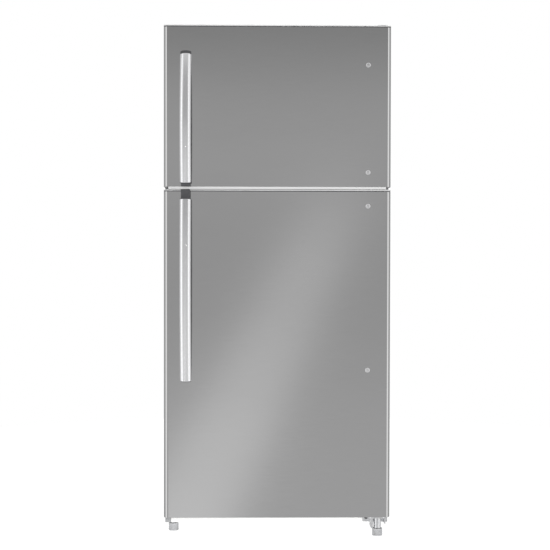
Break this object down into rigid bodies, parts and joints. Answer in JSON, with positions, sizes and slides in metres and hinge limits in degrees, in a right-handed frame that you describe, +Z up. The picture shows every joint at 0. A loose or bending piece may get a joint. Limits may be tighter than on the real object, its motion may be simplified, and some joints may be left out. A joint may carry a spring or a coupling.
{
  "type": "top freezer refrigerator",
  "caption": "Two-door refrigerator with the freezer on top, brushed steel doors on a grey cabinet, bowed bar handles, shelves, crispers, door bins, levelling feet and rollers.",
  "frame": {"origin": "middle of the footprint, on the floor", "axes": "+Z up, doors face -Y, hinges on the +X side"},
  "size_m": [0.75, 0.79, 1.706],
  "materials": {
    "painted_steel": "grey painted sheet steel",
    "back_sheet": "galvanised sheet",
    "foam": "rigid insulation foam",
    "liner": "vacuum-formed white liner",
    "white_steel": "white enamelled steel",
    "zinc": "zinc-plated steel",
    "compressor_black": "black enamel",
    "rubber": "black rubber",
    "white_plastic": "white plastic",
    "dark_plastic": "dark grey plastic",
    "cover_board": "dark board",
    "clear_plastic": "clear styrene",
    "glass": "tempered glass",
    "aluminium": "bare fins",
    "foot_plastic": "light grey plastic",
    "stainless": "brushed stainless steel, grain along X",
    "gasket_grey": "soft grey vinyl",
    "silver": "satin silver",
    "wire_white": "white coated wire"
  },
  "bodies": {
    "cabinet": {"outer_shell": "painted_steel", "rear_panel": "back_sheet", "cabinet_foam": "foam", "freezer_liner": "liner", "fresh_liner": "liner", "center_rail": "white_steel", "base_rail": "white_steel", "base_pan": "zinc", "compressor": "compressor_black", "compressor_mounts": "rubber", "drain_pan": "white_plastic", "machine_cover": "cover_board", "mains_inlet": "dark_plastic", "top_hinge": "zinc", "top_hinge_cover": "dark_plastic", "middle_hinge": "zinc", "bottom_hinge": "zinc", "hinge_bolts": "zinc", "evaporator_cover": "liner", "evaporator": "aluminium", "fan_motor": "dark_plastic", "freezer_shelf": "wire_white", "air_duct": "white_plastic", "control_housing": "white_plastic", "lamp_lens": "clear_plastic", "shelf_frames": "white_plastic", "shelf_glass": "glass", "crisper_cover": "white_plastic"},
    "left_foot": {"left_foot": "foot_plastic"},
    "right_foot": {"right_foot": "foot_plastic"},
    "left_roller": {"left_roller": "dark_plastic"},
    "right_roller": {"right_roller": "dark_plastic"},
    "fan": {"fan_blade": "dark_plastic"},
    "temperature_knob": {"temperature_knob": "white_plastic"},
    "freezer_knob": {"freezer_knob": "white_plastic"},
    "door_switch": {"door_switch": "white_plastic"},
    "left_crisper": {"left_crisper": "clear_plastic"},
    "right_crisper": {"right_crisper": "clear_plastic"},
    "dairy_flap": {"dairy_flap": "clear_plastic"},
    "freezer_door": {"freezer_skin": "stainless", "freezer_door_foam": "foam", "freezer_door_liner": "liner", "freezer_caps": "white_plastic", "freezer_gasket": "gasket_grey", "freezer_handle": "silver", "freezer_handle_mounts": "dark_plastic", "freezer_plugs": "silver", "freezer_upper_bin": "clear_plastic", "freezer_lower_bin": "clear_plastic"},
    "fresh_door": {"fresh_skin": "stainless", "fresh_door_foam": "foam", "fresh_door_liner": "liner", "fresh_caps": "white_plastic", "fresh_gasket": "gasket_grey", "fresh_handle": "silver", "fresh_handle_mounts": "dark_plastic", "fresh_plugs": "silver", "dairy_bin": "clear_plastic", "middle_bin": "clear_plastic", "lower_bin": "clear_plastic"}
  },
  "joints": [
    {"name": "freezer_door_hinge", "type": "hinge", "parent": "cabinet", "child": "freezer_door", "pos_m": [0.35, -0.305, 1.4], "axis": [0, 0, 1], "range_deg": [0, 130]},
    {"name": "fresh_door_hinge", "type": "hinge", "parent": "cabinet", "child": "fresh_door", "pos_m": [0.35, -0.305, 0.6], "axis": [0, 0, 1], "range_deg": [0, 130]},
    {"name": "left_foot_height", "type": "slide", "parent": "cabinet", "child": "left_foot", "axis": [0, 0, 1], "range_m": [-0.012, 0]},
    {"name": "right_foot_height", "type": "slide", "parent": "cabinet", "child": "right_foot", "axis": [0, 0, 1], "range_m": [-0.012, 0]},
    {"name": "left_roller_spin", "type": "hinge", "parent": "cabinet", "child": "left_roller", "pos_m": [-0.33, 0.33, 0.02], "axis": [1, 0, 0], "continuous": true},
    {"name": "right_roller_spin", "type": "hinge", "parent": "cabinet", "child": "right_roller", "pos_m": [0.33, 0.33, 0.02], "axis": [1, 0, 0], "continuous": true},
    {"name": "fan_spin", "type": "hinge", "parent": "cabinet", "child": "fan", "pos_m": [0, 0.278, 1.516], "axis": [0, 1, 0], "continuous": true},
    {"name": "temperature_knob_turn", "type": "hinge", "parent": "cabinet", "child": "temperature_knob", "pos_m": [-0.11, -0.155, 1.097], "axis": [0, -1, 0], "range_deg": [-135, 135]},
    {"name": "freezer_knob_turn", "type": "hinge", "parent": "cabinet", "child": "freezer_knob", "pos_m": [-0.22, 0.25, 1.286], "axis": [0, -1, 0], "range_deg": [-135, 135]},
    {"name": "door_switch_press", "type": "slide", "parent": "cabinet", "child": "door_switch", "axis": [0, -1, 0], "range_m": [0, 0.008]},
    {"name": "left_crisper_slide", "type": "slide", "parent": "cabinet", "child": "left_crisper", "axis": [0, -1, 0], "range_m": [0, 0.2]},
    {"name": "right_crisper_slide", "type": "slide", "parent": "cabinet", "child": "right_crisper", "axis": [0, -1, 0], "range_m": [0, 0.2]},
    {"name": "dairy_flap_lift", "type": "hinge", "parent": "fresh_door", "child": "dairy_flap", "pos_m": [0, -0.232, 0.988], "axis": [1, 0, 0], "range_deg": [0, 58]}
  ],
  "couplings": [
    {"joint": "left_crisper_slide", "follows": "fresh_door_hinge", "m_per_rad": 0.088},
    {"joint": "right_crisper_slide", "follows": "fresh_door_hinge", "m_per_rad": 0.088},
    {"joint": "door_switch_press", "follows": "fresh_door_hinge", "m_per_rad": 0.0035}
  ]
}
